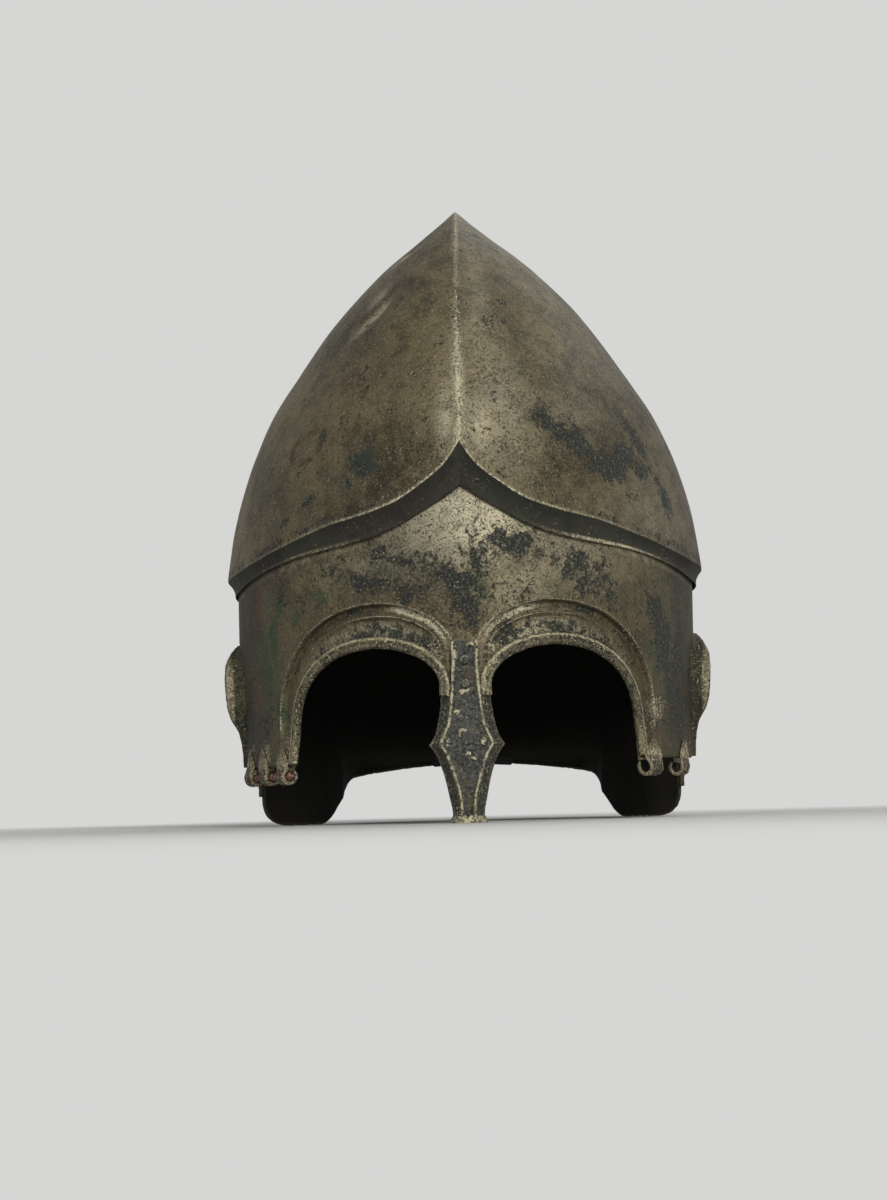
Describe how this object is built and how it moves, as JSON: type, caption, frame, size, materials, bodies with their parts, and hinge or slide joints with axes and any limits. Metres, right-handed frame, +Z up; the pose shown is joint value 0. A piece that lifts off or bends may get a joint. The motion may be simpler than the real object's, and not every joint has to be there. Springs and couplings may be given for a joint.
{
  "type": "chalcidian helmet",
  "caption": "Open-faced sheet bronze helmet with a tall keeled crown, a nasal guard, arched eye and ear openings, a flared neck guard and empty cheekpiece hinges.",
  "frame": {"origin": "on the resting plane, under the middle of the helmet's length and width", "axes": "+Z up to the apex, the face looks along -Y, +X to the right of someone facing the helmet"},
  "size_m": [0.1954, 0.234, 0.2444],
  "materials": {
    "crown_bronze": "aged brown-grey bronze, mottled and finely scratched",
    "shell_bronze": "aged bronze with charcoal and green corrosion patches",
    "dark_bronze": "dark blue-grey patina with pale corroded edges",
    "rim_bronze": "pale gold and cream encrusted bronze",
    "hinge_bronze": "encrusted brown bronze",
    "pin_rust": "reddish corroded pin"
  },
  "bodies": {
    "helmet": {"crown_cap": "crown_bronze", "face_and_neck_shell": "shell_bronze", "nasal_guard": "dark_bronze", "nasal_rivet_upper": "rim_bronze", "nasal_rivet_lower": "rim_bronze", "eye_rim_left": "rim_bronze", "ear_rim_left": "rim_bronze", "hinge_knuckle_left_front": "hinge_bronze", "hinge_knuckle_left_middle": "hinge_bronze", "hinge_knuckle_left_rear": "hinge_bronze", "eye_rim_right": "rim_bronze", "ear_rim_right": "rim_bronze", "hinge_knuckle_right_front": "hinge_bronze", "hinge_knuckle_right_rear": "hinge_bronze"},
    "hinge_pin": {"hinge_pin_left": "pin_rust"}
  },
  "joints": [
    {"name": "left_hinge_pin_turn", "type": "hinge", "parent": "helmet", "child": "hinge_pin", "pos_m": [-0.07498, -0.05812, 0.01865], "axis": [-0.444, 0.8961, 0], "continuous": true}
  ]
}
